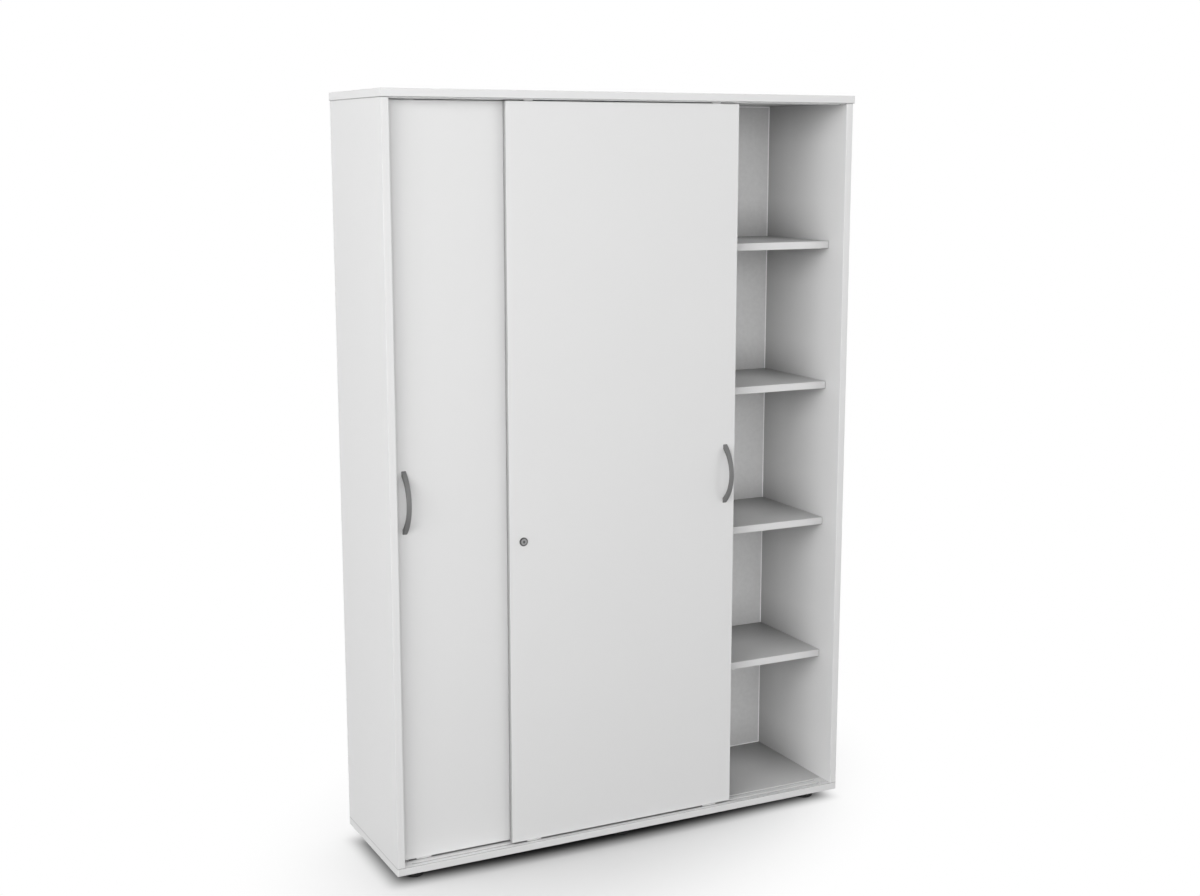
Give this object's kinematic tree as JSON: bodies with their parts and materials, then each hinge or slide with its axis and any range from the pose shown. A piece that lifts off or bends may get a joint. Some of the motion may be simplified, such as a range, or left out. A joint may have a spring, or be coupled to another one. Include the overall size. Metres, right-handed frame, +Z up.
{
  "type": "sliding door cabinet",
  "caption": "Tall free-standing office cabinet: overlapping front doors slide sideways on rollers, with bow handles and a cam lock, over shelves either side of a centre divider.",
  "frame": {"origin": "on the floor, in the middle of the overall width and of the overall depth, handles included", "axes": "+X to the right of someone facing the doors, +Y from the doors to the back, +Z up"},
  "size_m": [1.204, 0.375, 1.79],
  "materials": {
    "carcass_board": "white melamine-faced particle board, matt",
    "door_board": "white melamine-faced particle board, matt",
    "back_board": "white lacquered fibreboard, matt",
    "track_profile": "white extruded plastic",
    "white_plastic": "moulded white plastic",
    "roller_plastic": "turned off-white acetal",
    "handle_metal": "dark grey, satin",
    "lock_metal": "dull nickel",
    "zinc_steel": "zinc plated",
    "dowel_wood": "plain beech",
    "foot_plastic": "black, moulded"
  },
  "bodies": {
    "carcass": {"top_panel": "carcass_board", "bottom_panel": "carcass_board", "left_side_panel": "carcass_board", "right_side_panel": "carcass_board", "centre_divider": "carcass_board", "back_panel": "back_board", "left_shelf_1": "carcass_board", "left_shelf_2": "carcass_board", "left_shelf_3": "carcass_board", "left_shelf_4": "carcass_board", "right_shelf_1": "carcass_board", "right_shelf_2": "carcass_board", "right_shelf_3": "carcass_board", "right_shelf_4": "carcass_board", "shelf_pins": "zinc_steel", "carcass_dowels": "dowel_wood", "back_panel_screws": "zinc_steel", "bottom_track": "track_profile", "top_track": "track_profile", "track_end_plugs": "white_plastic", "foot_sockets": "foot_plastic", "levelling_feet": "foot_plastic"},
    "front_door": {"front_door_panel": "door_board", "front_door_handle": "handle_metal", "front_handle_screws": "zinc_steel", "front_roller_carrier_left": "white_plastic", "front_roller_axle_left": "zinc_steel", "front_top_guide_left": "white_plastic", "front_roller_carrier_right": "white_plastic", "front_roller_axle_right": "zinc_steel", "front_top_guide_right": "white_plastic", "lock_housing": "lock_metal", "lock_nut": "lock_metal"},
    "rear_door": {"rear_door_panel": "door_board", "rear_door_handle": "handle_metal", "rear_handle_screws": "zinc_steel", "rear_roller_carrier_left": "white_plastic", "rear_roller_axle_left": "zinc_steel", "rear_top_guide_left": "white_plastic", "rear_roller_carrier_right": "white_plastic", "rear_roller_axle_right": "zinc_steel", "rear_top_guide_right": "white_plastic", "lock_keeper": "zinc_steel", "keeper_screws": "zinc_steel"},
    "front_left_wheel": {"front_roller_left": "roller_plastic"},
    "front_right_wheel": {"front_roller_right": "roller_plastic"},
    "rear_left_wheel": {"rear_roller_left": "roller_plastic"},
    "rear_right_wheel": {"rear_roller_right": "roller_plastic"},
    "lock_cylinder": {"lock_plug": "lock_metal", "lock_cam": "zinc_steel", "lock_cam_screw": "zinc_steel"}
  },
  "joints": [
    {"name": "front_door_slide", "type": "slide", "parent": "carcass", "child": "front_door", "axis": [1, 0, 0], "range_m": [-0.08, 0.29675]},
    {"name": "rear_door_slide", "type": "slide", "parent": "carcass", "child": "rear_door", "axis": [1, 0, 0], "range_m": [0, 0.15]},
    {"name": "front_left_roller_turn", "type": "hinge", "parent": "front_door", "child": "front_left_wheel", "pos_m": [-0.25325, -0.1455, 0.0533], "axis": [0, 1, 0], "range_deg": [-420, 1550]},
    {"name": "front_right_roller_turn", "type": "hinge", "parent": "front_door", "child": "front_right_wheel", "pos_m": [0.22675, -0.1455, 0.0533], "axis": [0, 1, 0], "range_deg": [-420, 1550]},
    {"name": "rear_left_roller_turn", "type": "hinge", "parent": "rear_door", "child": "rear_left_wheel", "pos_m": [-0.5235, -0.1235, 0.0533], "axis": [0, 1, 0], "range_deg": [-10, 790]},
    {"name": "rear_right_roller_turn", "type": "hinge", "parent": "rear_door", "child": "rear_right_wheel", "pos_m": [-0.0435, -0.1235, 0.0533], "axis": [0, 1, 0], "range_deg": [-10, 790]},
    {"name": "lock_key_turn", "type": "hinge", "parent": "front_door", "child": "lock_cylinder", "pos_m": [-0.27625, -0.1565, 0.777], "axis": [0, 1, 0], "range_deg": [0, 90]}
  ],
  "couplings": [
    {"joint": "front_left_roller_turn", "follows": "front_door_slide", "rad_per_m": 90.909},
    {"joint": "front_right_roller_turn", "follows": "front_door_slide", "rad_per_m": 90.909},
    {"joint": "rear_left_roller_turn", "follows": "rear_door_slide", "rad_per_m": 90.909},
    {"joint": "rear_right_roller_turn", "follows": "rear_door_slide", "rad_per_m": 90.909}
  ]
}
